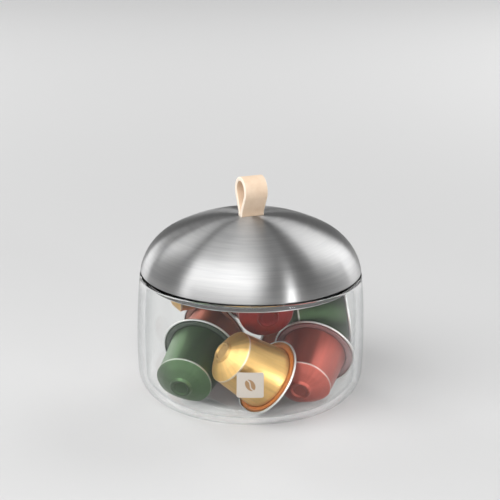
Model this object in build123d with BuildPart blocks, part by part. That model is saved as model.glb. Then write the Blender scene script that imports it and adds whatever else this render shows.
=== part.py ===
from build123d import *
from math import acos, atan, cos, degrees, radians, sin
import os

os.makedirs("parts", exist_ok=True)

# Round glass jar for coffee capsules, with a loose steel lid and a leather pull.
# The origin is on the table under the middle of the jar, and +Y is its back.

# Glass bowl
bowl_radius = 53.0
bowl_height = 60.0
bowl_wall = 3.6
bowl_floor = 3.0
heel_radius = 20.0
heel_turn = 11.0
corner_radius = 14.0
inner_corner_radius = 11.0
wall_turn = 87.0
belly_radius = 310.0
foot_ring_width = 4.5
foot_slope = 1.5
punt_depth = 0.9
rim_fillet = 1.3

# Label on the front of the glass
label_side = 12.0
label_thickness = 0.2
label_middle = 24.0
label_corner = 0.8
glue_line = 0.03

# Lid of spun steel
lid_inset = 0.3
lid_lift_gap = 0.9
lid_brow = 4.5
lid_brow_turn = 12.0
lid_shoulder = 25.4
lid_shoulder_turn = 50.0
lid_seat_turn = 15.0
lid_seat_round = 45.0
lid_seat_radius = 9.5
sheet = 0.8
hem_radius = 0.35

# Collar and seal under the lid
collar_sheet = 0.8
collar_gap = 0.1
skirt_depth = 4.8
skirt_clearance = 1.75
lip_width = 0.7
lip_height = 0.5
seal_height = 2.8
seal_clearance = 0.3
seal_running_gap = 0.06
seal_fillet = 0.4

# Leather pull
leather = 2.0
leaf_gap = 0.1
strap_width = 11.1
strap_turn = 22.0
loop_height = 16.05
loop_radius = 6.6
loop_join = 1.6
loop_join_round = 0.25
loop_edge_fillet = 0.4
flex_clearance = 0.3
slot_clearance = 0.3
slot_corner = 0.6
tail_length = 13.0
tail_edge_fillet = 0.3

# Fixing inside the lid
sleeve_sheet = 1.2
sleeve_clearance = 0.15
sleeve_length = 10.5
sleeve_corner = 1.0
weld_gap = 0.1
post_radius = 2.0
post_head_radius = 3.4
post_head_height = 1.0
post_drop = 8.0
post_clearance = 0.05
screw_radius = 1.2
screw_slot_width = 0.8
screw_slot_depth = 0.5
screw_bite = 3.6

# Coffee capsule, from its foil face at height zero up to its nose
capsule_height = 27.8
rim_radius = 18.5
bead_radius = 0.5
cup_foot_radius = 14.8
cup_shoulder_radius = 12.35
cup_shoulder_height = 22.6
shoulder_step = 0.6
nose_radius = 5.0
nose_height = 27.0
nose_bore = 3.0
nose_ridge = 0.6
cup_sheet = 0.35
foil_sheet = 0.12
foil_edge = 0.9
seal_ring_width = 1.8
seal_ring_height = 0.6
seal_ring_gap = 0.3
coffee_gap = 0.1
coffee_level = 0.5

# How the capsules lie: x and y of the foil's middle, its height over the glass
# floor, the compass heading of the nose, and how far the nose points up
capsules = {
    "capsule_1": (8.0, -29.6, 15.6, -155.0, 36.0),
    "capsule_2": (29.2, -9.8, 21.4, -106.0, -20.0),
    "capsule_3": (-22.5, -9.5, 21.4, -108.0, -18.0),
    "capsule_4": (-15.0, 12.0, 52.2, -165.0, -12.0),
    "capsule_5": (-17.0, 21.5, 18.6, -122.0, -16.0),
    "capsule_6": (-11.2, 14.0, 48.9, 15.0, 10.0),
    "capsule_7": (3.0, -8.0, 52.4, -80.0, -12.0),
    "capsule_8": (44.6, 1.0, 39.4, 180.0, -8.0),
    "capsule_9": (10.0, 25.0, 18.6, -20.0, -16.0),
}


# Bowl sizes that follow from the ones above
def side_step(radius, start, end):
    """Sideways travel of an arc of this radius between two directions."""
    return radius * (sin(radians(end)) - sin(radians(start)))


def up_step(radius, start, end):
    """Upward travel of an arc of this radius between two directions."""
    return radius * (cos(radians(start)) - cos(radians(end)))


heel_side = side_step(heel_radius, 0, heel_turn)
corner_side = side_step(corner_radius, heel_turn, wall_turn)
foot_edge = bowl_radius - heel_side - corner_side - side_step(belly_radius, wall_turn, 90)
corner_top = up_step(heel_radius, 0, heel_turn) + up_step(corner_radius, heel_turn, wall_turn)
inner_belly_radius = belly_radius - bowl_wall
floor_edge = (
    bowl_radius
    - bowl_wall
    - side_step(inner_corner_radius, 0, wall_turn)
    - side_step(inner_belly_radius, wall_turn, 90)
)
inner_corner_top = bowl_floor + up_step(inner_corner_radius, 0, wall_turn)
punt_radius = foot_edge - foot_ring_width


def turn_to_height(radius, start, rise):
    """Direction that an arc has after it has climbed by this rise."""
    return degrees(acos(cos(radians(start)) - rise / radius))


rim_turn = turn_to_height(belly_radius, wall_turn, bowl_height - corner_top)
inner_rim_turn = turn_to_height(inner_belly_radius, wall_turn, bowl_height - inner_corner_top)
rim_outer = bowl_radius + side_step(belly_radius, 90, rim_turn)
mouth_radius = bowl_radius - bowl_wall + side_step(inner_belly_radius, 90, inner_rim_turn)

with BuildPart() as glass_bowl:
    with BuildSketch(Plane.XZ):
        with BuildLine():
            Polyline(
                (0, bowl_floor),
                (0, punt_depth),
                (punt_radius - foot_slope, punt_depth),
                (punt_radius, 0),
                (foot_edge, 0),
            )
            heel = JernArc((foot_edge, 0), (1, 0), heel_radius, heel_turn)
            corner = JernArc(heel @ 1, heel % 1, corner_radius, wall_turn - heel_turn)
            belly = JernArc(corner @ 1, corner % 1, belly_radius, rim_turn - wall_turn)
            Line((0, bowl_floor), (floor_edge, bowl_floor))
            inner_corner = JernArc((floor_edge, bowl_floor), (1, 0), inner_corner_radius, wall_turn)
            inner_belly = JernArc(
                inner_corner @ 1, inner_corner % 1, inner_belly_radius, inner_rim_turn - wall_turn
            )
            Line(inner_belly @ 1, belly @ 1)
        make_face()
    revolve(axis=Axis.Z)
    fillet(glass_bowl.edges().group_by(Axis.Z)[-1], rim_fillet)
glass_bowl.part.label = "glass_bowl"


def belly_solid(outset):
    """Solid of revolution a little outside the bowl's outer face."""
    with BuildPart() as shell:
        with BuildSketch(Plane.XZ):
            with BuildLine():
                start = (bowl_radius + outset + side_step(belly_radius, 90, wall_turn), corner_top)
                wall_direction = (cos(radians(wall_turn)), sin(radians(wall_turn)))
                side = JernArc(start, wall_direction, belly_radius, rim_turn - wall_turn)
                Polyline(side @ 1, (0, bowl_height), (0, corner_top), side @ 0)
            make_face()
        revolve(axis=Axis.Z)
    return shell.part


with BuildPart() as front_label:
    with BuildSketch(Plane.XZ.offset(bowl_radius - label_side)) as label_face:
        with Locations((0, label_middle)):
            RectangleRounded(label_side, label_side, label_corner)
    extrude(amount=2 * label_side)
    add(belly_solid(glue_line + label_thickness), mode=Mode.INTERSECT)
    add(belly_solid(glue_line), mode=Mode.SUBTRACT)
front_label.part.label = "front_label"

# Lid sizes that follow from the bowl's mouth. From its edge the dome turns through
# the brow, the shoulder and the crown to a round seat, flat in the middle.
lid_radius = rim_outer - lid_inset
lid_edge_height = bowl_height + lid_lift_gap
crown_start = lid_brow_turn + lid_shoulder_turn
crown_end = 90 - lid_seat_turn
crown_foot = (
    lid_radius
    - up_step(lid_brow, 0, lid_brow_turn)
    - up_step(lid_shoulder, lid_brow_turn, crown_start)
)
crown_head = lid_seat_radius + up_step(lid_seat_round, crown_end, 90)
crown_radius = (crown_foot - crown_head) / up_step(1, crown_start, crown_end)
lid_top = (
    lid_edge_height
    + side_step(lid_brow, 0, lid_brow_turn)
    + side_step(lid_shoulder, lid_brow_turn, crown_start)
    + side_step(crown_radius, crown_start, crown_end)
    + side_step(lid_seat_round, crown_end, 90)
)


def dome_solid(inset, bottom):
    """Full dome under the lid's outer face, stepped in by inset, down to the bottom."""
    with BuildPart() as dome:
        with BuildSketch(Plane.XZ):
            with BuildLine():
                edge = (lid_radius - inset, lid_edge_height)
                brow = JernArc(edge, (0, 1), lid_brow - inset, lid_brow_turn)
                shoulder = JernArc(brow @ 1, brow % 1, lid_shoulder - inset, lid_shoulder_turn)
                crown = JernArc(
                    shoulder @ 1, shoulder % 1, crown_radius - inset, crown_end - crown_start
                )
                seat = JernArc(crown @ 1, crown % 1, lid_seat_round - inset, lid_seat_turn)
                Polyline(
                    seat @ 1,
                    (0, lid_top - inset),
                    (0, bottom),
                    (lid_radius - inset, bottom),
                    edge,
                )
            make_face()
        revolve(axis=Axis.Z)
    return dome.part


strap_plane = Plane(
    origin=(0, 0, 0),
    x_dir=(cos(radians(strap_turn)), sin(radians(strap_turn)), 0),
    z_dir=(0, 0, 1),
)
pair_thickness = 2 * leather + leaf_gap

with BuildPart() as lid_dome:
    add(dome_solid(0, bowl_height))
    add(dome_solid(sheet, bowl_height), mode=Mode.SUBTRACT)
    split(bisect_by=Plane.XY.offset(lid_edge_height), keep=Keep.TOP)
    with BuildSketch(strap_plane.offset(lid_top - lid_shoulder)):
        RectangleRounded(
            strap_width + 2 * slot_clearance, pair_thickness + 2 * slot_clearance, slot_corner
        )
    extrude(amount=2 * lid_shoulder, mode=Mode.SUBTRACT)
    fillet(lid_dome.edges().group_by(Axis.Z)[0], hem_radius)
lid_dome.part.label = "lid_dome"

# The collar's skirt hangs in the mouth and carries the seal over a small lip
skirt_outer = mouth_radius - skirt_clearance
skirt_bottom = lid_edge_height - skirt_depth
collar_top = lid_edge_height + sheet + collar_gap

with BuildPart() as lid_collar:
    with BuildSketch(Plane.XZ):
        with BuildLine():
            Polyline(
                (skirt_outer - collar_sheet, collar_top),
                (lid_radius, collar_top),
                (lid_radius, collar_top - collar_sheet),
                (skirt_outer, collar_top - collar_sheet),
                (skirt_outer, skirt_bottom + lip_height),
                (skirt_outer + lip_width, skirt_bottom + lip_height),
                (skirt_outer + lip_width, skirt_bottom),
                (skirt_outer - collar_sheet, skirt_bottom),
                close=True,
            )
        make_face()
    revolve(axis=Axis.Z)
    add(dome_solid(sheet + collar_gap, skirt_bottom), mode=Mode.INTERSECT)
lid_collar.part.label = "lid_collar"

seal_inner = skirt_outer + seal_running_gap
seal_outer = mouth_radius - seal_clearance
seal_bottom = skirt_bottom + lip_height + seal_running_gap

with BuildPart() as lid_seal:
    with BuildSketch(Plane.XZ):
        with BuildLine():
            Polyline(
                (seal_inner, seal_bottom),
                (seal_outer, seal_bottom),
                (seal_outer, seal_bottom + seal_height),
                (seal_inner, seal_bottom + seal_height),
                close=True,
            )
        make_face()
    revolve(axis=Axis.Z)
    outer_edges = lid_seal.edges().filter_by(GeomType.CIRCLE).sort_by(SortBy.RADIUS)[-2:]
    fillet(outer_edges, seal_fillet)
lid_seal.part.label = "lid_seal"

# Leather pull: the loop bends at an axis just over the lid
flex_height = lid_top + pair_thickness / 2 + flex_clearance
tail_top = flex_height - pair_thickness / 2 - flex_clearance
tail_bottom = tail_top - tail_length
loop_middle = loop_height - loop_radius
strap_side = Plane(
    origin=(0, 0, flex_height), x_dir=strap_plane.y_dir, z_dir=strap_plane.x_dir
)

with BuildPart() as strap_loop:
    with BuildSketch(strap_side.offset(-strap_width / 2)) as loop_outline:
        Circle(pair_thickness / 2)
        with Locations((0, loop_middle)):
            Circle(loop_radius)
        make_hull()
    extrude(amount=strap_width)
    with BuildSketch(strap_side.offset(-strap_width / 2)) as loop_gap:
        with Locations((0, loop_join)):
            Circle(loop_join_round)
        with Locations((0, loop_middle)):
            Circle(loop_radius - leather)
        make_hull()
    extrude(amount=strap_width, mode=Mode.SUBTRACT)
    width_axis = Axis(strap_side.origin, strap_side.z_dir)
    loop_faces = strap_loop.faces().filter_by(GeomType.PLANE).sort_by(width_axis)
    fillet(loop_faces[0].edges() + loop_faces[-1].edges(), loop_edge_fillet)
strap_loop.part.label = "strap_loop"

post_height = lid_top - post_drop
post_plane = Plane(origin=(0, 0, post_height), x_dir=strap_plane.x_dir, z_dir=strap_plane.y_dir)
leaf_offset = (leather + leaf_gap) / 2

with BuildPart() as strap_tails:
    with BuildSketch(strap_plane.offset(tail_bottom)):
        with Locations((0, -leaf_offset), (0, leaf_offset)):
            Rectangle(strap_width, leather)
    extrude(amount=tail_length)
    fillet(strap_tails.edges().filter_by(Axis.Z), tail_edge_fillet)
    with BuildSketch(post_plane):
        Circle(post_radius + post_clearance)
    extrude(amount=pair_thickness, both=True, mode=Mode.SUBTRACT)
strap_tails.part.label = "strap_tails"

sleeve_inner_length = strap_width + 2 * sleeve_clearance
sleeve_inner_width = pair_thickness + 2 * sleeve_clearance
sleeve_outer_width = sleeve_inner_width + 2 * sleeve_sheet

with BuildPart() as strap_sleeve:
    with BuildSketch(strap_plane.offset(lid_top - sleeve_length)):
        RectangleRounded(
            sleeve_inner_length + 2 * sleeve_sheet, sleeve_outer_width, sleeve_corner + sleeve_sheet
        )
        Rectangle(sleeve_inner_length, sleeve_inner_width, mode=Mode.SUBTRACT)
    extrude(amount=sleeve_length)
    add(dome_solid(sheet + weld_gap, bowl_height), mode=Mode.INTERSECT)
    with BuildSketch(post_plane):
        Circle(post_radius + post_clearance)
    extrude(amount=sleeve_outer_width, both=True, mode=Mode.SUBTRACT)
strap_sleeve.part.label = "strap_sleeve"

# Post from the back face of the sleeve, screw from its front face
grip = sleeve_outer_width / 2

with BuildPart() as binding_post:
    with BuildSketch(post_plane.offset(-grip)):
        Circle(post_radius)
    extrude(amount=2 * grip)
    with BuildSketch(post_plane.offset(grip)):
        Circle(post_head_radius)
    extrude(amount=post_head_height)
    with BuildSketch(post_plane.offset(-grip)):
        Circle(screw_radius + post_clearance)
    extrude(amount=screw_bite + post_clearance, mode=Mode.SUBTRACT)
binding_post.part.label = "binding_post"

with BuildPart() as post_screw:
    with BuildSketch(post_plane.offset(-grip - post_head_height)):
        Circle(post_head_radius)
        Rectangle(2 * post_head_radius, screw_slot_width, mode=Mode.SUBTRACT)
    extrude(amount=screw_slot_depth)
    with BuildSketch(post_plane.offset(-grip - post_head_height + screw_slot_depth)):
        Circle(post_head_radius)
    extrude(amount=post_head_height - screw_slot_depth)
    with BuildSketch(post_plane.offset(-grip)):
        Circle(screw_radius)
    extrude(amount=screw_bite)
post_screw.part.label = "post_screw"

fittings = [
    glass_bowl, front_label, lid_dome, lid_collar, lid_seal,
    strap_loop, strap_tails, strap_sleeve, binding_post, post_screw,
]
for fitting in fittings:
    export_step(fitting.part, f"parts/{fitting.part.label}.step")


def capsule_plane(place):
    """Plane through a capsule's axis: x runs outwards, y along the axis to the nose."""
    x, y, height, heading, pitch = place
    side = Vector(-sin(radians(heading)), cos(radians(heading)), 0)
    level = cos(radians(pitch))
    nose = Vector(level * cos(radians(heading)), level * sin(radians(heading)), sin(radians(pitch)))
    return Plane(origin=(x, y, bowl_floor + height), x_dir=side, z_dir=side.cross(nose))


def turned_part(name, plane, outline, beads=()):
    """Solid that the outline makes when it turns about the capsule's axis."""
    with BuildPart() as turned:
        with BuildSketch(plane):
            with BuildLine():
                Polyline(*outline, close=True)
            make_face()
            for centre, radius in beads:
                with Locations(centre):
                    Circle(radius)
        revolve(axis=Axis(plane.origin, plane.y_dir))
    turned.part.label = name
    export_step(turned.part, f"parts/{name}.step")


flange_top = foil_sheet + cup_sheet
flange_edge = rim_radius - bead_radius
ring_inner = cup_foot_radius + seal_ring_gap
inner_foot = cup_foot_radius - cup_sheet
inner_shoulder = cup_shoulder_radius - cup_sheet

for name, place in capsules.items():
    plane = capsule_plane(place)
    turned_part(
        name + "_cup",
        plane,
        [
            (inner_foot, foil_sheet),
            (flange_edge, foil_sheet),
            (flange_edge, flange_top),
            (cup_foot_radius, flange_top),
            (cup_shoulder_radius, cup_shoulder_height),
            (cup_shoulder_radius - shoulder_step, cup_shoulder_height + shoulder_step),
            (nose_radius, nose_height),
            (nose_radius - nose_ridge, capsule_height + nose_ridge),
            (nose_bore + nose_ridge, capsule_height + nose_ridge),
            (nose_bore, capsule_height),
            (0, capsule_height),
            (0, capsule_height - cup_sheet),
            (nose_bore, capsule_height - cup_sheet),
            (nose_radius, nose_height - cup_sheet),
            (inner_shoulder - shoulder_step, cup_shoulder_height + shoulder_step),
            (inner_shoulder, cup_shoulder_height - cup_sheet),
        ],
        [((flange_edge, foil_sheet + bead_radius), bead_radius)],
    )
    turned_part(
        name + "_foil",
        plane,
        [(0, 0), (rim_radius - foil_edge, 0), (rim_radius - foil_edge, foil_sheet), (0, foil_sheet)],
    )
    turned_part(
        name + "_ring",
        plane,
        [
            (ring_inner, flange_top),
            (ring_inner + seal_ring_width, flange_top),
            (ring_inner + seal_ring_width, flange_top + seal_ring_height),
            (ring_inner, flange_top + seal_ring_height),
        ],
    )
    turned_part(
        name + "_coffee",
        plane,
        [
            (0, foil_sheet + coffee_level),
            (inner_foot - coffee_gap, foil_sheet + coffee_level),
            (inner_shoulder - coffee_gap, cup_shoulder_height - cup_sheet),
            (0, cup_shoulder_height - cup_sheet),
        ],
    )
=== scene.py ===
import math
import bpy
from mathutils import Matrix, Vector


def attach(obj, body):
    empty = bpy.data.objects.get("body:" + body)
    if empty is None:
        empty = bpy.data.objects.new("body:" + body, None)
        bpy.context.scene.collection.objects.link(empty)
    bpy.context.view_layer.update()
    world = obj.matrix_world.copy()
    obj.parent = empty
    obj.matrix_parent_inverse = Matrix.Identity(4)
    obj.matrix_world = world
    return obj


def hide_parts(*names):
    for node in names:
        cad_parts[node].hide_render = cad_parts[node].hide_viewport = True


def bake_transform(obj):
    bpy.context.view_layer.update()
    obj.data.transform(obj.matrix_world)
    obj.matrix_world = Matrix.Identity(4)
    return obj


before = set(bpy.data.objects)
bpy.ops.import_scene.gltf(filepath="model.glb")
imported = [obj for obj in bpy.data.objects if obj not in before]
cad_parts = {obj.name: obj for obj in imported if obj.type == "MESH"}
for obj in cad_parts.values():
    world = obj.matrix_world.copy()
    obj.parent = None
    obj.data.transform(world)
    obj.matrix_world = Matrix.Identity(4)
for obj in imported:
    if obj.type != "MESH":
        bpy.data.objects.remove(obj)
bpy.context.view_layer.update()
print("frame loaded")

mm = 0.001
middle = Vector((0, 0, 69.91 * mm))  # the point that the camera and the lamps look at


# Drawing outlines. x is the distance from the axis, or across the pull, and z the height, in metres.
# sideStep and upStep say how far an arc goes while its heading turns from start to end, in degrees.
def sideStep(radius, start, end):
    return radius * (math.sin(math.radians(end)) - math.sin(math.radians(start)))


def upStep(radius, start, end):
    return radius * (math.cos(math.radians(start)) - math.cos(math.radians(end)))


class Pen:
    def __init__(self, x, z):
        self.marks = [(x, z, 0)]

    def to(self, x, z, soften=0):  # soften is the radius that rounds the corner
        self.marks.append((x, z, soften))
        return self

    def line(self, x, z, steps):  # straight on, in equal steps
        startX, startZ, _ = self.marks[-1]
        for step in range(1, steps + 1):
            self.to(startX + (x - startX) * step / steps, startZ + (z - startZ) * step / steps)
        return self

    def roundCorner(self, index, radius):
        x, z, _ = self.marks[index]
        self.marks[index] = (x, z, radius)
        return self

    def arc(self, radius, heading, turn, steps):  # a positive turn goes left
        x, z, _ = self.marks[-1]
        side = math.copysign(radius, turn)
        start = math.radians(heading)
        centreX, centreZ = x - side * math.sin(start), z + side * math.cos(start)
        for step in range(1, steps + 1):
            now = start + math.radians(turn) * step / steps
            self.marks.append((centreX + side * math.sin(now), centreZ - side * math.cos(now), 0))
        return self

    def points(self, closed=False, steps=5):
        drawn = []
        count = len(self.marks)
        for index, (x, z, soften) in enumerate(self.marks):
            corner = Vector((x, z))
            if not soften:
                drawn.append(corner)
                continue
            before = Vector(self.marks[index - 1][:2]) - corner
            after = Vector(self.marks[(index + 1) % count][:2]) - corner
            half = before.angle(after) / 2
            reach = soften / math.tan(half)
            towards = (before.normalized() + after.normalized()).normalized()
            centre = corner + towards * soften / math.sin(half)
            first = corner + before.normalized() * reach - centre
            last = corner + after.normalized() * reach - centre
            for step in range(steps + 1):
                drawn.append(centre + first.lerp(last, step / steps).normalized() * soften)
        if closed:
            drawn.append(drawn[0])
        return drawn


# Modelling helpers
def clearSelection():
    if bpy.context.object and bpy.context.object.mode != "OBJECT":
        bpy.ops.object.mode_set(mode="OBJECT")
    bpy.ops.object.select_all(action="DESELECT")


def pick(piece):
    clearSelection()
    piece.select_set(True)
    bpy.context.view_layer.objects.active = piece


def settle(piece):  # the place and the turn go into the mesh
    pick(piece)
    bpy.ops.object.transform_apply(location=True, rotation=True, scale=True)


def cleanUp(piece, smoothAngle=32):
    pick(piece)
    bpy.ops.object.mode_set(mode="EDIT")
    bpy.ops.mesh.select_all(action="SELECT")
    bpy.ops.mesh.remove_doubles(threshold=0.002 * mm)
    bpy.ops.mesh.normals_make_consistent(inside=False)
    bpy.ops.object.mode_set(mode="OBJECT")
    bpy.ops.object.shade_smooth_by_angle(angle=math.radians(smoothAngle))


def modify(piece, kind, **values):
    pick(piece)
    modifier = piece.modifiers.new(kind.title(), kind)
    for key, value in values.items():
        setattr(modifier, key, value)
    bpy.ops.object.modifier_apply(modifier=modifier.name)


def drawnChain(name, points, place):  # one vertex, drawn out along the points
    clearSelection()
    bpy.ops.mesh.primitive_plane_add(size=mm, location=place(points[0]))
    piece = bpy.context.object
    piece.name = piece.data.name = name
    settle(piece)
    bpy.ops.object.mode_set(mode="EDIT")
    bpy.ops.mesh.merge(type="CENTER")
    for here, there in zip(points, points[1:]):
        step = Vector(place(there)) - Vector(place(here))
        bpy.ops.mesh.extrude_region_move(TRANSFORM_OT_translate={"value": step})
    return piece


def turned(name, points, steps, smoothAngle=32):
    piece = drawnChain(name, points, lambda mark: (mark[0], 0, mark[1]))
    bpy.ops.mesh.select_all(action="SELECT")
    bpy.ops.mesh.spin(steps=steps, angle=2 * math.pi, center=(0, 0, 0), axis=(0, 0, 1))
    cleanUp(piece, smoothAngle)
    return piece


# Finishes. A wire is a socket that can be used in sums.
class Wire:
    def __init__(self, finish, socket):
        self.finish, self.socket = finish, socket

    def __add__(self, other):
        return self.finish.maths("ADD", self, other)

    def __radd__(self, other):
        return self.finish.maths("ADD", other, self)

    def __sub__(self, other):
        return self.finish.maths("SUBTRACT", self, other)

    def __rsub__(self, other):
        return self.finish.maths("SUBTRACT", other, self)

    def __mul__(self, other):
        return self.finish.maths("MULTIPLY", self, other)

    def __rmul__(self, other):
        return self.finish.maths("MULTIPLY", other, self)

    def __truediv__(self, other):
        return self.finish.maths("DIVIDE", self, other)

    def __abs__(self):
        return self.finish.maths("ABSOLUTE", self)

    def fade(self, low, high):  # 0 below low, 1 above high, smooth between
        return self.finish.node(
            "ShaderNodeMapRange",
            {"interpolation_type": "SMOOTHSTEP"},
            {"Value": self, "From Min": low, "From Max": high},
        )


class Finish:
    def __init__(self, name, tree=None):
        if tree is None:
            self.material = bpy.data.materials.new(name)
            self.material.use_nodes = True
            tree = self.material.node_tree
            self.shader = tree.nodes["Principled BSDF"]
        self.tree = tree

    def node(self, kind, settings=None, sockets=None, output=0):
        made = self.tree.nodes.new(kind)
        for key, value in (settings or {}).items():
            setattr(made, key, value)
        for key, value in (sockets or {}).items():
            self.feed(made.inputs[key], value)
        return Wire(self, made.outputs[output])

    def feed(self, socket, value):
        if isinstance(value, Wire):
            self.tree.links.new(value.socket, socket)
        elif socket.type == "RGBA":
            socket.default_value = (*value, 1)
        else:
            socket.default_value = value

    def maths(self, operation, first, second=None):
        sockets = {0: first} if second is None else {0: first, 1: second}
        return self.node("ShaderNodeMath", {"operation": operation}, sockets)

    def place(self, location=(0, 0, 0), rotation=(0, 0, 0)):  # the piece's own space
        at = self.node("ShaderNodeTexCoord", output="Object")
        return self.node(
            "ShaderNodeMapping",
            {"vector_type": "TEXTURE"},
            {"Vector": at, "Location": location, "Rotation": rotation},
        )

    def split(self, vector):
        made = self.node("ShaderNodeSeparateXYZ", sockets={0: vector}).socket.node
        return [Wire(self, made.outputs[index]) for index in range(3)]

    def joined(self, x, y, z):
        return self.node("ShaderNodeCombineXYZ", sockets={0: x, 1: y, 2: z})

    def noise(self, vector, scale, detail, roughness):
        sockets = {"Vector": vector, "Scale": scale, "Detail": detail, "Roughness": roughness}
        return self.node("ShaderNodeTexNoise", sockets=sockets)

    def blended(self, factor, first, second):  # sockets 6 and 7 are the two colours, output 2 the mix
        return self.node("ShaderNodeMix", {"data_type": "RGBA"}, {0: factor, 6: first, 7: second}, 2)

    def bump(self, height, strength, distance):
        sockets = {"Height": height, "Strength": strength, "Distance": distance}
        return self.node("ShaderNodeBump", sockets=sockets)

    def set(self, **values):
        for key, value in values.items():
            words = "".join(" " + letter if letter.isupper() else letter for letter in key).strip()
            words = {"I O R": "IOR", "Specular Level": "Specular IOR Level"}.get(words, words)
            self.feed(self.shader.inputs[words], value)
        return self


def wear(piece, finish):
    piece.data.materials.clear()
    piece.data.materials.append(finish.material)


def wearNode(name, finish):
    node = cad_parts[name]
    if not node.material_slots:
        node.data.materials.append(finish.material)
    for slot in node.material_slots:
        slot.material = finish.material


def joinFrame(piece, finish, body, slot, *replaced):
    wear(piece, finish)
    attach(piece, body)
    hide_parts(*replaced)


def ringSpace(finish, space):  # direction round the axis, distance from it, height
    x, y, z = finish.split(space)
    tiny = 1e-12  # so that nothing is divided by zero on the axis
    radius = finish.maths("SQRT", x * x + y * y + tiny)
    return (x / radius, y / radius), radius, z


# Lines round the axis. They waver more with a larger wander, and count is how many there are in a metre.
def ringLines(finish, around, along, wander, count, detail, roughness):
    x, y = around
    lines = finish.joined(x * wander, y * wander, along * count)
    return finish.noise(lines, scale=1, detail=detail, roughness=roughness)


def toned(colour, strength):
    return tuple(min(1, strength * tone) for tone in colour)


# A direction: degrees from x towards y, and degrees upwards
def pointing(heading, rise):
    level, around = math.cos(math.radians(rise)), math.radians(heading)
    return Vector((level * math.cos(around), level * math.sin(around), math.sin(math.radians(rise))))


# Glass bowl
bowl = dict(
    radius=53 * mm, height=60 * mm, wall=3.6 * mm, floor=3.0 * mm, heelRadius=20 * mm, heelTurn=11,
    cornerRadius=14 * mm, innerCornerRadius=11 * mm, wallTurn=87, bellyRadius=310 * mm,
    footRing=4.5 * mm, footSlope=1.5 * mm, punt=0.9 * mm, rimRound=1.3 * mm, footRound=0.5 * mm,
    heelSteps=4, cornerSteps=24, innerCornerSteps=22, wallSteps=14,
    clear=(0.985, 0.992, 0.988), grazedTintAndShade=(0.3, 0.33, 0.34), mirrored=(0.45, 0.45, 0.45),
    tintAndShadeFadesFrom=7 * mm, tintAndShadeFadesTo=2 * mm,
)


def turnAtHeight(radius, start, rise):  # the heading that an arc has when it has risen this far
    return math.degrees(math.acos(math.cos(math.radians(start)) - rise / radius))


def bowlSizes(b):
    wallTurn, belly, corner, heel = b["wallTurn"], b["bellyRadius"], b["cornerRadius"], b["heelRadius"]
    inner, innerBelly, innerRadius = b["innerCornerRadius"], belly - b["wall"], b["radius"] - b["wall"]
    cornerTop = upStep(heel, 0, b["heelTurn"]) + upStep(corner, b["heelTurn"], wallTurn)
    innerTop = b["floor"] + upStep(inner, 0, wallTurn)
    rimTurn = turnAtHeight(belly, wallTurn, b["height"] - cornerTop)
    innerRimTurn = turnAtHeight(innerBelly, wallTurn, b["height"] - innerTop)
    return dict(
        footEdge=b["radius"] - sideStep(heel, 0, b["heelTurn"])
        - sideStep(corner, b["heelTurn"], wallTurn) - sideStep(belly, wallTurn, 90),
        floorEdge=innerRadius - sideStep(inner, 0, wallTurn) - sideStep(innerBelly, wallTurn, 90),
        rimTurn=rimTurn, innerRimTurn=innerRimTurn,
        rimOuter=b["radius"] + sideStep(belly, 90, rimTurn),
        mouth=innerRadius + sideStep(innerBelly, 90, innerRimTurn),
    )


bowlAt = bowlSizes(bowl)


def makeBowl(b, at):
    innerBelly = b["bellyRadius"] - b["wall"]
    inside = Pen(0, b["floor"]).to(at["floorEdge"], b["floor"])
    inside.arc(b["innerCornerRadius"], 0, b["wallTurn"], b["innerCornerSteps"])
    inside.arc(innerBelly, b["wallTurn"], at["innerRimTurn"] - b["wallTurn"], b["wallSteps"])
    inside.roundCorner(-1, b["rimRound"])
    puntEdge = at["footEdge"] - b["footRing"]
    pen = Pen(0, b["punt"]).to(puntEdge - b["footSlope"], b["punt"], b["footRound"])
    pen.to(puntEdge, 0, b["footRound"]).to(at["footEdge"], 0)
    pen.arc(b["heelRadius"], 0, b["heelTurn"], b["heelSteps"])
    pen.arc(b["cornerRadius"], b["heelTurn"], b["wallTurn"] - b["heelTurn"], b["cornerSteps"])
    pen.arc(b["bellyRadius"], b["wallTurn"], at["rimTurn"] - b["wallTurn"], b["wallSteps"])
    pen.roundCorner(-1, b["rimRound"])
    pen.marks += reversed(inside.marks)
    return turned("bowl_glass", pen.points(steps=8), steps=192, smoothAngle=40)


def clearGlass(b):  # darker where the wall is seen at a grazing angle, but not near the rim: partly the glass's own tint through its thickness, partly painted shade for dark edges
    finish = Finish("clear glass")
    space = finish.place()
    ripple = finish.noise(space, scale=38, detail=1, roughness=0.4)
    haze = finish.noise(space, scale=120, detail=3, roughness=0.6).fade(0.45, 0.8)
    facing = finish.node("ShaderNodeLayerWeight", sockets={"Blend": 0.5}, output=1)
    height = finish.split(space)[2]
    nearRim = height.fade(b["height"] - b["tintAndShadeFadesFrom"], b["height"] - b["tintAndShadeFadesTo"])
    # painted shade, with the glass's own tint: the wall darkens towards grazing angles
    grazing = facing.fade(0.5, 0.97) * (1 - nearRim)
    return finish.set(
        BaseColor=finish.blended(grazing, b["clear"], b["grazedTintAndShade"]), Roughness=0.004 + 0.012 * haze,
        TransmissionWeight=1.0, IOR=1.5, SpecularTint=b["mirrored"],
        Normal=finish.bump(ripple, strength=0.06, distance=0.4 * mm),
    )


glassPiece = makeBowl(bowl, bowlAt)
glassPiece.visible_shadow = False
joinFrame(glassPiece, clearGlass(bowl), "bowl", "clear_glass", "glass_bowl")
print("bowl made")


# Label on the front of the glass, with a tilted coffee bean
label = dict(
    side=12 * mm, thickness=0.2 * mm, middle=24 * mm, corner=0.8 * mm, glueLine=0.03 * mm, cuts=11,
    start=-1.2 * bowl["radius"], beanTurn=32, beanHalfWidth=2.1 * mm, beanHalfLength=3.0 * mm,
    seamSwing=0.22, cream=(0.55, 0.50, 0.44), ink=(0.33, 0.2, 0.1),
)


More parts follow.
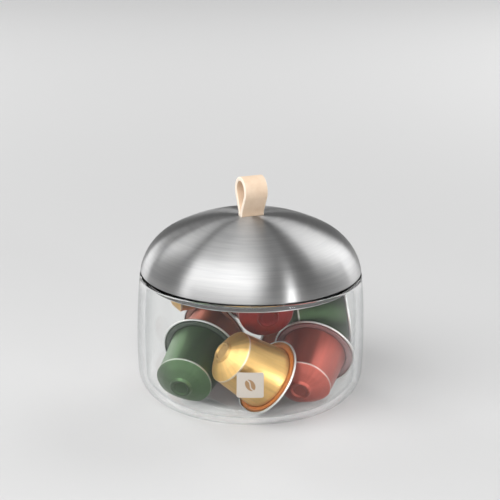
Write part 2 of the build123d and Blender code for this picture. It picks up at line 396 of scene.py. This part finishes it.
def makeLabel(l, target):  # drawn in front of the glass, then laid on it
    clearSelection()
    bpy.ops.mesh.primitive_plane_add(
        size=l["side"], location=(0, l["start"], l["middle"]), rotation=(math.pi / 2, 0, 0)
    )
    piece = bpy.context.object
    piece.name = piece.data.name = "label_film"
    settle(piece)
    bpy.ops.object.mode_set(mode="EDIT")
    bpy.ops.mesh.select_all(action="SELECT")
    bpy.ops.mesh.bevel(offset=l["corner"], segments=5, affect="VERTICES")
    for cut in range(l["cuts"]):
        across = l["side"] * ((cut + 1) / (l["cuts"] + 1) - 0.5)
        for normal in ((1, 0, 0), (0, 0, 1)):
            bpy.ops.mesh.select_all(action="SELECT")
            spot = (across, 0, 0) if normal[0] else (0, 0, l["middle"] + across)
            bpy.ops.mesh.bisect(plane_co=spot, plane_no=normal)
    bpy.ops.object.mode_set(mode="OBJECT")
    modify(
        piece, "SHRINKWRAP", wrap_method="PROJECT", target=target, use_project_y=True,
        use_positive_direction=True,
    )
    piece.location.y = -l["glueLine"]
    settle(piece)
    modify(piece, "SOLIDIFY", thickness=l["thickness"], offset=1)
    cleanUp(piece)
    return piece


def labelFilm(l):
    finish = Finish("cream film")
    x, _, z = finish.split(finish.place(location=(0, 0, l["middle"])))
    grain = finish.noise(finish.place(), scale=900, detail=4, roughness=0.6)
    beanTurn = math.radians(l["beanTurn"])
    across = (x * math.cos(beanTurn) + z * math.sin(beanTurn)) / l["beanHalfWidth"]
    along = (z * math.cos(beanTurn) - x * math.sin(beanTurn)) / l["beanHalfLength"]
    bean = finish.maths("SQRT", across * across + along * along)
    seam = abs(across - l["seamSwing"] * finish.maths("SINE", along * math.pi))
    ink = (1 - bean.fade(0.95, 1.03)) * seam.fade(0.1, 0.17)
    colour = finish.blended(grain, l["cream"], toned(l["cream"], 0.92))
    return finish.set(
        BaseColor=finish.blended(ink, colour, l["ink"]), Roughness=0.42 + 0.2 * grain,
        Normal=finish.bump(grain, strength=0.12, distance=0.1 * mm),
    )


labelPiece = makeLabel(label, glassPiece)
joinFrame(labelPiece, labelFilm(label), "bowl", "label", "front_label")
print("label made")


# Lid of spun steel
lid = dict(
    inset=0.3 * mm, liftGap=0.9 * mm, brow=4.5 * mm, browTurn=12, shoulder=25.4 * mm, shoulderTurn=50,
    seatTurn=15, seatRound=45 * mm, seatRadius=9.5 * mm, sheet=0.8 * mm, hem=0.35 * mm,
    slotLength=11.7 * mm, slotWidth=4.7 * mm, slotRound=0.6 * mm, slotCut=6 * mm, strapTurn=22,
    browSteps=4, shoulderSteps=22, crownSteps=12, seatSteps=10, smoothAngle=30,
    darkLine=(0.385, 0.385, 0.39), paleLine=(0.465, 0.465, 0.46),
)


def lidSizes(l):  # the crown's radius joins the shoulder to the flatter seat round the slot
    radius = bowlAt["rimOuter"] - l["inset"]
    edge = bowl["height"] + l["liftGap"]
    start, end = l["browTurn"] + l["shoulderTurn"], 90 - l["seatTurn"]
    foot = radius - upStep(l["brow"], 0, l["browTurn"]) - upStep(l["shoulder"], l["browTurn"], start)
    head = l["seatRadius"] + upStep(l["seatRound"], end, 90)
    crown = (foot - head) / upStep(1, start, end)
    top = (edge + sideStep(l["brow"], 0, l["browTurn"]) + sideStep(l["shoulder"], l["browTurn"], start)
           + sideStep(crown, start, end) + sideStep(l["seatRound"], end, 90))
    return dict(radius=radius, edge=edge, crown=crown, start=start, end=end, top=top)


lidAt = lidSizes(lid)


def domeOutline(l, at, inset):
    pen = Pen(at["radius"] - inset, at["edge"])
    pen.arc(l["brow"] - inset, 90, l["browTurn"], l["browSteps"])
    pen.arc(l["shoulder"] - inset, 90 + l["browTurn"], l["shoulderTurn"], l["shoulderSteps"])
    pen.arc(at["crown"] - inset, 90 + at["start"], at["end"] - at["start"], l["crownSteps"])
    pen.arc(l["seatRound"] - inset, 90 + at["end"], l["seatTurn"], l["seatSteps"])
    return pen.to(0, at["top"] - inset).roundCorner(0, l["hem"])


def makeDome(l, at):
    pen = domeOutline(l, at, 0)
    pen.marks = list(reversed(pen.marks)) + domeOutline(l, at, l["sheet"]).marks
    dome = turned("lid_shell", pen.points(), steps=240, smoothAngle=l["smoothAngle"])
    clearSelection()
    bpy.ops.mesh.primitive_cube_add(
        size=1, location=(0, 0, at["top"]), rotation=(0, 0, math.radians(l["strapTurn"])),
        scale=(l["slotLength"], l["slotWidth"], l["slotCut"]),
    )
    cutter = bpy.context.object  # the slot that the leather goes through
    settle(cutter)
    bpy.ops.object.mode_set(mode="EDIT")
    bpy.ops.mesh.select_all(action="DESELECT")
    bpy.ops.object.mode_set(mode="OBJECT")
    for edge in cutter.data.edges:  # the four upright edges are rounded
        low, high = (cutter.data.vertices[index].co for index in edge.vertices)
        edge.select = abs(low.z - high.z) > mm
    bpy.ops.object.mode_set(mode="EDIT")
    bpy.ops.mesh.bevel(offset=l["slotRound"], segments=5)
    clearSelection()
    modify(dome, "BOOLEAN", operation="DIFFERENCE", solver="FAST", object=cutter)
    bpy.data.objects.remove(cutter)
    pick(dome)
    bpy.ops.object.shade_smooth_by_angle(angle=math.radians(l["smoothAngle"]))
    return dome


def spunSteel(l, at):
    finish = Finish("spun steel")
    around, radius, z = ringSpace(finish, finish.place())
    ring = radius + (at["top"] - z)
    coarse = ringLines(finish, around, ring, wander=1.3, count=420, detail=3, roughness=0.6)
    fine = ringLines(finish, around, ring, wander=2.2, count=2600, detail=2, roughness=0.7)
    lines = 0.55 * coarse + 0.45 * fine
    return finish.set(
        BaseColor=finish.blended(lines.fade(0.3, 0.7), l["darkLine"], l["paleLine"]),
        Metallic=1.0, Roughness=0.34 + 0.08 * lines, Anisotropic=0.95, AnisotropicRotation=0.25,
        Normal=finish.bump(lines, strength=0.1, distance=0.03 * mm),
    )


domePiece = makeDome(lid, lidAt)
joinFrame(domePiece, spunSteel(lid, lidAt), "lid", "brushed_steel", "lid_dome")
print("lid made")


# Collar and seal under the lid
collar = dict(
    sheet=0.8 * mm, gap=0.1 * mm, skirtDepth=4.8 * mm, skirtClearance=1.75 * mm, lipWidth=0.7 * mm,
    lipHeight=0.5 * mm, edgeRound=0.2 * mm, lean=0.25 * mm,
    darkLine=(0.5, 0.5, 0.505), paleLine=(0.62, 0.62, 0.62),
)
seal = dict(
    height=2.8 * mm, clearance=0.3 * mm, runningGap=0.06 * mm, edgeRound=0.4 * mm, waist=0.25 * mm,
    waistRound=0.2 * mm, dark=(0.06, 0.06, 0.06), pale=(0.1, 0.1, 0.098),
)


def makeCollar(c):
    skirt = bowlAt["mouth"] - c["skirtClearance"]
    bottom, top = lidAt["edge"] - c["skirtDepth"], lidAt["edge"] + lid["sheet"] + c["gap"]
    outer = lidAt["radius"] - lid["sheet"] - c["gap"] - c["lean"]
    inner, soft = skirt - c["sheet"], c["edgeRound"]
    pen = Pen(inner, top).to(outer, top, soft).to(outer, top - c["sheet"], soft)
    pen.to(skirt, top - c["sheet"]).to(skirt, bottom + c["lipHeight"])
    pen.to(skirt + c["lipWidth"], bottom + c["lipHeight"], soft).to(skirt + c["lipWidth"], bottom, soft)
    pen.to(inner, bottom, soft)
    return turned("lid_skirt", pen.points(closed=True), steps=192)


def makeSeal(c, s):
    inner = bowlAt["mouth"] - c["skirtClearance"] + s["runningGap"]
    outer = bowlAt["mouth"] - s["clearance"]
    low = lidAt["edge"] - c["skirtDepth"] + c["lipHeight"] + s["runningGap"]
    pen = Pen(inner, low).to(outer, low, s["edgeRound"])
    for share, dip in ((0.4, 0), (0.5, s["waist"]), (0.6, 0)):
        pen.to(outer - dip, low + s["height"] * share, s["waistRound"])
    pen.to(outer, low + s["height"], s["edgeRound"]).to(inner, low + s["height"])
    return turned("seal_ring", pen.points(closed=True), steps=192)


def plainSteel(name, c):
    finish = Finish(name)
    around, radius, z = ringSpace(finish, finish.place())
    lines = ringLines(finish, around, radius + z, wander=3, count=3000, detail=3, roughness=0.6)
    return finish.set(
        BaseColor=finish.blended(lines, c["darkLine"], c["paleLine"]), Metallic=1.0,
        Roughness=0.26 + 0.16 * lines, Normal=finish.bump(lines, strength=0.1, distance=0.03 * mm),
    )


def greySilicone(s):
    finish = Finish("grey silicone")
    cloud = finish.noise(finish.place(), scale=260, detail=3, roughness=0.6)
    return finish.set(
        BaseColor=finish.blended(cloud, s["dark"], s["pale"]), Roughness=0.38 + 0.15 * cloud,
        SubsurfaceWeight=0.2, SubsurfaceScale=1 * mm,
        Normal=finish.bump(cloud, strength=0.08, distance=0.1 * mm),
    )


satinSteel = plainSteel("satin steel", collar)
joinFrame(makeCollar(collar), satinSteel, "lid", "plain_steel", "lid_collar")
joinFrame(makeSeal(collar, seal), greySilicone(seal), "lid_seal", "silicone", "lid_seal")
for name in ("strap_sleeve", "binding_post", "post_screw"):
    wearNode(name, satinSteel)
print("collar and seal made")


# Leather pull: one strip, up through the slot, round and down again
pull = dict(
    width=11.1 * mm, leather=2.0 * mm, leafGap=0.1 * mm, loopHeight=16.05 * mm, loopRadius=6.6 * mm,
    tail=13 * mm, flexClearance=0.3 * mm, flare=28, flareRadius=7 * mm, edgeRound=0.38 * mm,
    tailSteps=8, flareSteps=8, slantSteps=3, bendSteps=18, lengthwiseCuts=(-0.3, 0, 0.3), sharpAngle=50,
    face=(0.70, 0.53, 0.38), paleFace=(0.78, 0.62, 0.47), grain=(0.66, 0.44, 0.29), sheen=(1, 0.9, 0.8),
    cutFrom=0.45 * mm, cutTo=0.1 * mm, cut=(0.86, 0.72, 0.58), paleCut=(0.95, 0.84, 0.72),
)


def pullSizes(p):
    pair = 2 * p["leather"] + p["leafGap"]
    flex = lidAt["top"] + pair / 2 + p["flexClearance"]
    return dict(
        flex=flex, tailEnd=lidAt["top"] - p["tail"], loopMiddle=flex + p["loopHeight"] - p["loopRadius"],
        leaf=(p["leather"] + p["leafGap"]) / 2, bend=p["loopRadius"] - p["leather"] / 2,
    )


pullAt = pullSizes(pull)


def makePull(p, at):
    flare = math.radians(p["flare"])
    out = p["flareRadius"] * (1 - math.cos(flare))
    run = (at["bend"] * math.cos(flare) - at["leaf"] - out) / math.sin(flare)
    rise = (at["bend"] + p["flareRadius"]) * math.sin(flare) + run * math.cos(flare)
    pen = Pen(-at["leaf"], at["tailEnd"])
    pen.line(-at["leaf"], at["loopMiddle"] - rise, p["tailSteps"])
    pen.arc(p["flareRadius"], 90, p["flare"], p["flareSteps"])
    x, z, _ = pen.marks[-1]
    pen.line(x - run * math.sin(flare), z + run * math.cos(flare), p["slantSteps"])
    pen.arc(at["bend"], 90 + p["flare"], -(90 + p["flare"]), p["bendSteps"])
    half = pen.marks[:-1]
    pen.marks += [(-x, z, 0) for x, z, _ in reversed(half)]
    piece = drawnChain("leather_pull", pen.points(), lambda mark: (-p["width"] / 2, mark[0], mark[1]))
    bpy.ops.mesh.select_all(action="SELECT")
    bpy.ops.mesh.extrude_region_move(TRANSFORM_OT_translate={"value": (p["width"], 0, 0)})
    for cut in p["lengthwiseCuts"]:
        bpy.ops.mesh.select_all(action="SELECT")
        bpy.ops.mesh.bisect(plane_co=(cut * p["width"], 0, 0), plane_no=(1, 0, 0))
    cleanUp(piece)
    modify(piece, "SOLIDIFY", thickness=p["leather"], offset=0, use_even_offset=True)
    modify(
        piece, "BEVEL", width=p["edgeRound"], segments=4, limit_method="ANGLE",
        angle_limit=math.radians(p["sharpAngle"]),
    )
    piece.rotation_euler.z = math.radians(lid["strapTurn"])
    settle(piece)
    cleanUp(piece, p["sharpAngle"])
    return piece


def naturalLeather(p):
    finish = Finish("natural leather")
    space = finish.place(rotation=(0, 0, math.radians(lid["strapTurn"])))
    x, y, z = finish.split(space)
    grain = finish.noise(space, scale=1500, detail=5, roughness=0.65)
    pores = finish.node("ShaderNodeTexVoronoi", sockets={"Vector": space, "Scale": 2200.0})
    mottle = finish.noise(space, scale=160, detail=3, roughness=0.6)
    fibreSpace = finish.joined(x * 6000, y * 2500, z * 1200)
    fibres = finish.noise(fibreSpace, scale=1, detail=3, roughness=0.7)
    side = p["width"] / 2
    edge = abs(x).fade(side - p["cutFrom"], side - p["cutTo"])  # the cut edges are paler and fibrous
    face = finish.blended(mottle.fade(0.3, 0.7), p["face"], p["paleFace"])
    face = finish.blended(0.25 * grain, face, p["grain"])
    cut = finish.blended(fibres, p["cut"], p["paleCut"])
    return finish.set(
        BaseColor=finish.blended(edge, face, cut), Roughness=0.5 + 0.2 * grain + 0.12 * edge,
        Normal=finish.bump(grain * 0.6 + pores * 0.4, strength=0.22, distance=0.12 * mm),
        SheenWeight=0.12, SheenRoughness=0.4, SheenTint=p["sheen"],
    )


pullPiece = makePull(pull, pullAt)
wear(pullPiece, naturalLeather(pull))
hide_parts("strap_loop", "strap_tails")
lidAt["top"] + 0.6 * mm
pullAt["flex"] + 2.2 * mm
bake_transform(pullPiece)
print("pull made")


# Coffee capsules: x, y and height of the foil's middle over the glass floor in millimetres, the
# heading of the nose from x towards y and its rise in degrees, and the colour
capsules = {
    "capsule_1": (8.0, -29.6, 15.6, -155.0, 36.0, "gold"),
    "capsule_2": (29.2, -9.8, 21.4, -106.0, -20.0, "salmon"),
    "capsule_3": (-22.5, -9.5, 21.4, -108.0, -18.0, "green"),
    "capsule_4": (-15.0, 12.0, 52.2, -165.0, -12.0, "gold"),
    "capsule_5": (-17.0, 21.5, 18.6, -122.0, -16.0, "copper"),
    "capsule_6": (-11.2, 14.0, 48.9, 15.0, 10.0, "red"),
    "capsule_7": (3.0, -8.0, 52.4, -80.0, -12.0, "red"),
    "capsule_8": (44.6, 1.0, 39.4, 180.0, -8.0, "green"),
    "capsule_9": (10.0, 25.0, 18.6, -20.0, -16.0, "copper"),
}
capsule = dict(
    height=27.8 * mm, rim=18.5 * mm, bead=0.5 * mm, foot=14.8 * mm, shoulder=12.35 * mm,
    shoulderHeight=22.6 * mm, step=0.6 * mm, nose=5 * mm, noseHeight=27 * mm, bore=3 * mm,
    ridge=0.6 * mm, sheet=0.35 * mm, foil=0.12 * mm,
)
cup = dict(
    middleRise=0.15 * mm, slopeShare=0.6, slopeRise=0.08 * mm, slopeRound=1 * mm, boreRound=0.15 * mm,
    ridgeRound=0.2 * mm, noseRound=0.3 * mm, bulge=8.7 * mm, bulgeHeight=25.3 * mm, bulgeRound=6 * mm,
    stepRound=0.35 * mm, beltOut=0.08 * mm, beltTop=0.1 * mm, beltTopRound=0.2 * mm,
    beltBottom=0.35 * mm, beltBottomRound=0.15 * mm, beltFoot=0.02 * mm, beltEnd=0.7 * mm,
    footRound=0.5 * mm, beadStart=0.477 * mm, beadHeading=107.5, beadTurn=-287.5, beadSteps=16,
    innerRound=0.2 * mm, paintedShoulderHighlight=(-0.75 * mm, -0.5 * mm, 0.1 * mm, 0.35 * mm),
    paintedNoseShade=(1.3 * mm, 1.7 * mm), paintedNoseShadeHeight=(26.5 * mm, 26.8 * mm),
    flangeHeight=(0.9 * mm, 1.5 * mm), bareBead=(-0.85 * mm, -0.65 * mm),
    shoulderHighlightColour=(0.85, 0.85, 0.8), beadColour=(0.7, 0.7, 0.69),
)
foil = dict(
    inset=0.9 * mm, edgeRound=0.05 * mm, crimpOuter=16.4 * mm, crimpInner=14.8 * mm,
    crimpSlope=0.2 * mm, crimpDepth=0.07 * mm, sagFrom=9 * mm, sagStart=0.02 * mm, sag=0.05 * mm,
    dark=(0.54, 0.54, 0.54), pale=(0.66, 0.66, 0.65),
)
sealRing = dict(width=1.8 * mm, height=0.6 * mm, gap=0.3 * mm, edgeRound=0.22 * mm)
grounds = dict(dark=(0.03, 0.014, 0.007), pale=(0.12, 0.06, 0.03))
anodised = dict(
    gold=(0.66, 0.42, 0.15), salmon=(0.45, 0.105, 0.08), red=(0.25, 0.023, 0.02),
    green=(0.072, 0.13, 0.06), copper=(0.30, 0.095, 0.06),
)
# the flange's own anodised colour, darkened and shifted towards the body's colour as painted shade and
# painted reflection
flangeShadeAndReflection = dict(
    gold=(0.36, 0.11, 0.015), salmon=(0.17, 0.08, 0.08), red=(0.1, 0.02, 0.02),
    green=(0.045, 0.06, 0.045), copper=(0.2, 0.08, 0.05),
)


def makeCup(c, u):  # from the middle of the nose down the outside, and back up the inside
    flange, edge, belt = c["foil"] + c["sheet"], c["rim"] - c["bead"], c["shoulderHeight"]
    pen = Pen(0, c["height"] + u["middleRise"])
    pen.to(u["slopeShare"] * c["bore"], c["height"] + u["slopeRise"], u["slopeRound"])
    pen.to(c["bore"], c["height"], u["boreRound"])
    pen.to(c["bore"] + c["ridge"], c["height"] + c["ridge"], u["ridgeRound"])
    pen.to(c["nose"] - c["ridge"], c["height"] + c["ridge"], u["noseRound"])
    pen.to(c["nose"], c["noseHeight"], u["noseRound"])
    pen.to(u["bulge"], u["bulgeHeight"], u["bulgeRound"])
    pen.to(c["shoulder"] - c["step"], belt + c["step"], u["stepRound"])
    pen.to(c["shoulder"] + u["beltOut"], belt + u["beltTop"], u["beltTopRound"])
    pen.to(c["shoulder"] + u["beltOut"], belt - u["beltBottom"], u["beltBottomRound"])
    pen.to(c["shoulder"] + u["beltFoot"], belt - u["beltEnd"])
    pen.to(c["foot"], flange, u["footRound"]).to(edge - u["beadStart"], flange)
    pen.arc(c["bead"], u["beadHeading"], u["beadTurn"], u["beadSteps"])
    pen.to(c["foot"] - c["sheet"], c["foil"], u["innerRound"])
    pen.to(c["shoulder"] - c["sheet"], belt - c["sheet"], u["innerRound"])
    pen.to(c["shoulder"] - c["sheet"] - c["step"], belt + c["step"])
    pen.to(c["nose"], c["noseHeight"] - c["sheet"]).to(c["bore"], c["height"] - c["sheet"])
    pen.to(0, c["height"] - c["sheet"])
    return turned("cup_pattern", pen.points(steps=4), steps=96, smoothAngle=30)


def makeFoil(c, f):
    edge = c["rim"] - f["inset"]
    pen = Pen(0, c["foil"]).to(edge, c["foil"]).to(edge, 0, f["edgeRound"]).to(f["crimpOuter"], 0)
    pen.to(f["crimpOuter"] - f["crimpSlope"], f["crimpDepth"])
    pen.to(f["crimpInner"] + f["crimpSlope"], f["crimpDepth"]).to(f["crimpInner"], 0)
    pen.to(f["sagFrom"], f["sagStart"]).to(0, f["sag"])
    return turned("foil_pattern", pen.points(), steps=96, smoothAngle=20)


def makeRing(c, r):
    low, inner = c["foil"] + c["sheet"], c["foot"] + r["gap"]
    outer, high = inner + r["width"], low + r["height"]
    pen = Pen(inner, low).to(outer, low).to(outer, high, r["edgeRound"]).to(inner, high, r["edgeRound"])
    return turned("ring_pattern", pen.points(closed=True), steps=96)


def anodisedFinish(name, c, u, colour, location, rotation):
    finish = Finish(name)
    space = finish.place(location, rotation)
    around, radius, z = ringSpace(finish, space)
    lines = ringLines(finish, around, z - radius, wander=5, count=2400, detail=3, roughness=0.65)
    streaks = ringLines(finish, around, z, wander=6, count=30, detail=3, roughness=0.6).fade(0.35, 0.65)
    satin = finish.noise(space, scale=180, detail=3, roughness=0.6)
    mixed = 0.3 * lines + 0.3 * satin + 0.4 * streaks
    skin = finish.blended(mixed, toned(anodised[colour], 0.75), toned(anodised[colour], 1.2))
    # painted highlight: a pale line round the shoulder's edge fades in and fades out
    starts, full, fades, ends = (c["shoulderHeight"] + offset for offset in u["paintedShoulderHighlight"])
    line = z.fade(starts, full) * (1 - z.fade(fades, ends))
    skin = finish.blended(0.45 * line, skin, u["shoulderHighlightColour"])
    # painted shade: the recessed middle of the nose is darkened
    inNose = 1 - radius.fade(*(c["bore"] + reach for reach in u["paintedNoseShade"]))
    dip = inNose * z.fade(*u["paintedNoseShadeHeight"])
    skin = finish.blended(0.55 * dip, skin, toned(anodised[colour], 0.3))
    # painted shade and painted reflection: the flange darkens and takes on the body's colour
    flange = 1 - z.fade(*u["flangeHeight"])
    skin = finish.blended(0.7 * flange, skin, flangeShadeAndReflection[colour])
    bare = radius.fade(*(c["rim"] + reach for reach in u["bareBead"]))
    return finish.set(
        BaseColor=finish.blended(bare, skin, u["beadColour"]), Metallic=0.88,
        Roughness=0.30 + 0.14 * lines + 0.12 * streaks,
        Normal=finish.bump(lines, strength=0.12, distance=0.04 * mm),
    )


def crimpedFoil(name, f, location, rotation):
    finish = Finish(name)
    space = finish.place(location, rotation)
    folds = finish.noise(space, scale=260, detail=4, roughness=0.6)
    dents = finish.node("ShaderNodeTexVoronoi", sockets={"Vector": space, "Scale": 700.0})
    return finish.set(
        BaseColor=finish.blended(folds, f["dark"], f["pale"]), Metallic=1.0, Roughness=0.28 + 0.16 * folds,
        Normal=finish.bump(folds + 0.3 * dents, strength=0.45, distance=0.3 * mm),
    )


def sealCompound(colour):
    finish = Finish(colour + " seal compound")
    grain = finish.noise(finish.place(), scale=1400, detail=3, roughness=0.6)
    # painted shade and painted reflection: the ring is coloured with the flange's painted tones
    paintedFlangeTone = flangeShadeAndReflection[colour]
    return finish.set(
        BaseColor=finish.blended(grain, paintedFlangeTone, toned(paintedFlangeTone, 1.3)), Roughness=0.3 + 0.2 * grain,
        Normal=finish.bump(grain, strength=0.15, distance=0.1 * mm),
    )


def groundCoffee(g):
    finish = Finish("ground coffee")
    grain = finish.noise(finish.place(), scale=2600, detail=4, roughness=0.7)
    return finish.set(
        BaseColor=finish.blended(grain, g["dark"], g["pale"]), Roughness=0.9,
        Normal=finish.bump(grain, strength=0.6, distance=0.3 * mm),
    )


patterns = {
    "cup": makeCup(capsule, cup), "foil": makeFoil(capsule, foil), "ring": makeRing(capsule, sealRing),
}
compound = {colour: sealCompound(colour) for colour in anodised}
coffee = groundCoffee(grounds)
for name, (x, y, height, heading, rise, colour) in capsules.items():
    location = Vector((x, y, height)) * mm + Vector((0, 0, bowl["floor"]))
    rotation = pointing(heading, rise).to_track_quat("Z", "Y").to_euler()
    finishes = {
        "cup": anodisedFinish(name + " " + colour, capsule, cup, colour, location, rotation),
        "foil": crimpedFoil(name + " foil", foil, location, rotation),
        "ring": compound[colour],
    }
    slots = {"cup": "capsule_" + colour.replace("salmon", "red"), "foil": "foil", "ring": "capsule_seal"}
    for kind, pattern in patterns.items():
        pick(pattern)
        bpy.ops.object.duplicate()
        copy = bpy.context.object
        copy.name = copy.data.name = f"{name}_{kind}_shaped"
        copy.location, copy.rotation_euler = location, rotation
        settle(copy)
        joinFrame(copy, finishes[kind], "bowl", slots[kind], f"{name}_{kind}")
    wearNode(name + "_coffee", coffee)
for pattern in patterns.values():
    bpy.data.objects.remove(pattern)
print("capsules made")


# Floor, lamps and camera
floor = dict(
    size=6.0, near=0.2, far=1.2, colour=(0.58, 0.58, 0.58), farColour=(0.95, 0.95, 0.95),
    dustColour=(0.3, 0.3, 0.3),
)
clearSelection()
bpy.ops.mesh.primitive_plane_add(size=floor["size"])
floorPiece = bpy.context.object
floorPiece.name = "studio_floor"
floorFinish = Finish("studio floor")
floorSpace = floorFinish.place()
dust = floorFinish.noise(floorSpace, scale=3, detail=3, roughness=0.6)
across, along, _ = floorFinish.split(floorSpace)
distance = floorFinish.maths("SQRT", across * across + along * along)
away = distance.fade(floor["near"], floor["far"])
paper = floorFinish.blended(away, floor["colour"], floor["farColour"])
floorFinish.set(
    BaseColor=floorFinish.blended(0.02 * dust, paper, floor["dustColour"]),
    Roughness=0.7, SpecularLevel=0.2,
)
wear(floorPiece, floorFinish)

# Soft lamps: degrees from the front towards the right, degrees up, distance, width, height, brightness
lamps = {
    "key": (-35, 48, 1.1, 1.55, 0.9, 3.9),
    "keyLow": (-71, 10, 1.1, 0.2, 0.4, 3.2),
    "right": (132, 37, 1.1, 0.75, 0.6, 2.7),
    "left": (-137, 37, 1.1, 0.2, 0.45, 5.2),
    "sliver": (41, 4, 1.1, 0.12, 0.4, 19.0),
    "rimRight": (134, 11, 1.2, 0.6, 0.4, 2.6),
    "rimLeft": (-140, 3, 1.2, 0.45, 0.3, 3.1),
    "top": (0, 88, 1.2, 0.7, 0.7, 1.0),
}
for name, (heading, elevation, distance, width, height, brightness) in lamps.items():
    direction = pointing(heading - 90, elevation)
    lampData = bpy.data.lights.new(name, "AREA")
    lampData.shape, lampData.size, lampData.size_y = "RECTANGLE", width, height
    lampData.energy = brightness * math.pi * width * height
    lamp = bpy.data.objects.new(name, lampData)
    bpy.context.scene.collection.objects.link(lamp)
    lamp.location = middle + direction * distance
    lamp.rotation_euler = direction.to_track_quat("Z", "Y").to_euler()
    lamp.visible_camera = False

surroundings = dict(studio=(0.2, 0.2, 0.2), backdrop=(0.86, 0.86, 0.86))
world = bpy.data.worlds.new("studio")
bpy.context.scene.world = world
world.use_nodes = True
sky = Finish("sky", world.node_tree)
ray = world.node_tree.nodes.new("ShaderNodeLightPath")
seen = sky.maths(
    "MAXIMUM", Wire(sky, ray.outputs["Is Camera Ray"]), Wire(sky, ray.outputs["Is Transmission Ray"])
)
sky.feed(
    world.node_tree.nodes["Background"].inputs["Color"],
    sky.blended(seen, surroundings["studio"], surroundings["backdrop"]),
)

shot = dict(
    distance=0.880, elevation=17.62, roll=0.35, focal=136.86, sensor=36,
    aimX=-0.46 * mm, aimZ=0.23 * mm,
)
lens = bpy.data.cameras.new("camera")
lens.lens, lens.sensor_width = shot["focal"], shot["sensor"]
camera = bpy.data.objects.new("camera", lens)
bpy.context.scene.collection.objects.link(camera)
bpy.context.scene.camera = camera
backwards = pointing(-90, shot["elevation"])
camera.location = middle + Vector((shot["aimX"], 0, shot["aimZ"])) + backwards * shot["distance"]
camera.rotation_euler = backwards.to_track_quat("Z", "Y").to_euler()
camera.rotation_euler.rotate_axis("Z", math.radians(shot["roll"]))
bpy.context.scene.view_settings.view_transform = "Standard"
print("stage set")
